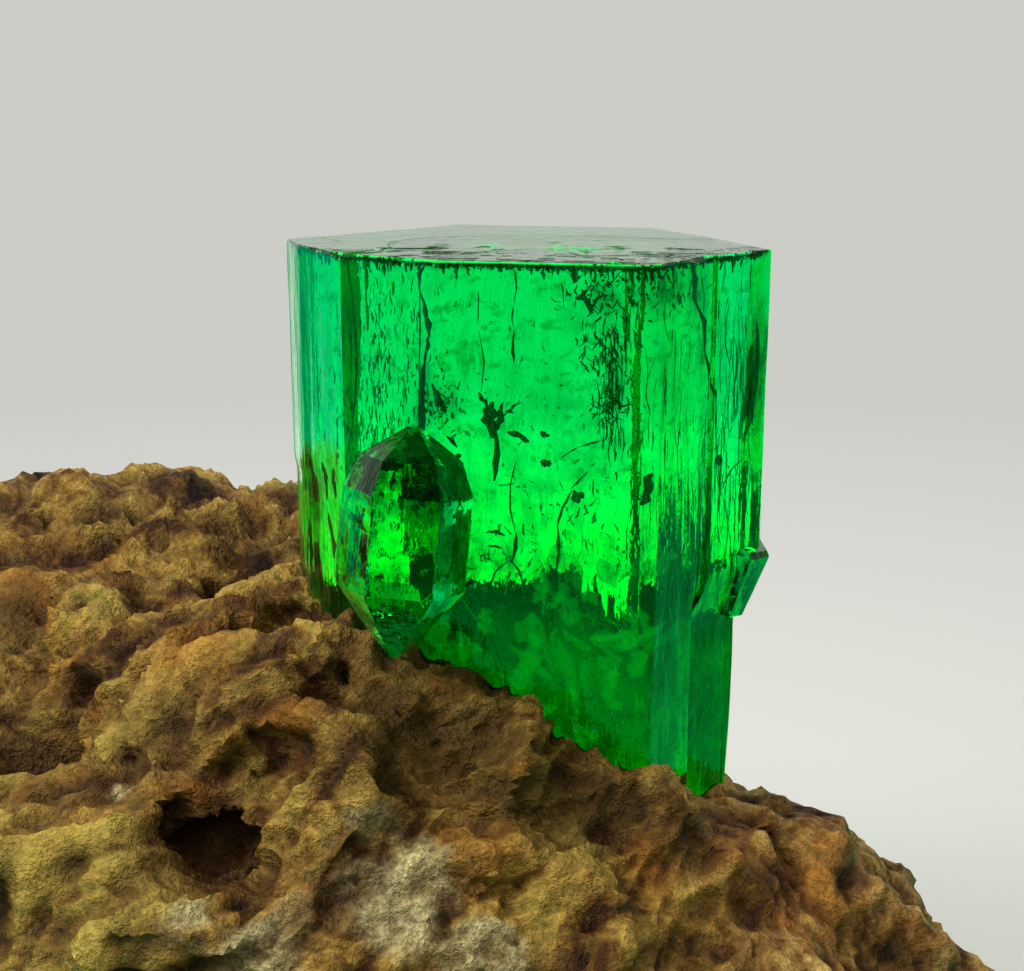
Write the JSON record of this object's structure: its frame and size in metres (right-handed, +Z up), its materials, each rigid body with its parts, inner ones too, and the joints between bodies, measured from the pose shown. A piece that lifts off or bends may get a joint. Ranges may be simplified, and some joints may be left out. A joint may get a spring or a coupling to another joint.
{
  "type": "emerald crystal specimen",
  "caption": "Green six-sided emerald prism with a small blunt crystal grown on its front, standing in a loose piece of brown porous matrix rock with a flat base",
  "frame": {"origin": "a point on the rock's flat base, under the middle of the specimen", "axes": "+Z is up along the large crystal's axis, -Z points out of the flat base, and -Y faces the front, which shows the small crystal"},
  "size_m": [0.0357, 0.031, 0.0261],
  "materials": {
    "matrix": "rough",
    "emerald": "gloss"
  },
  "bodies": {
    "root": {"matrix_rock": "matrix", "emerald_crystals": "emerald"}
  },
  "joints": []
}
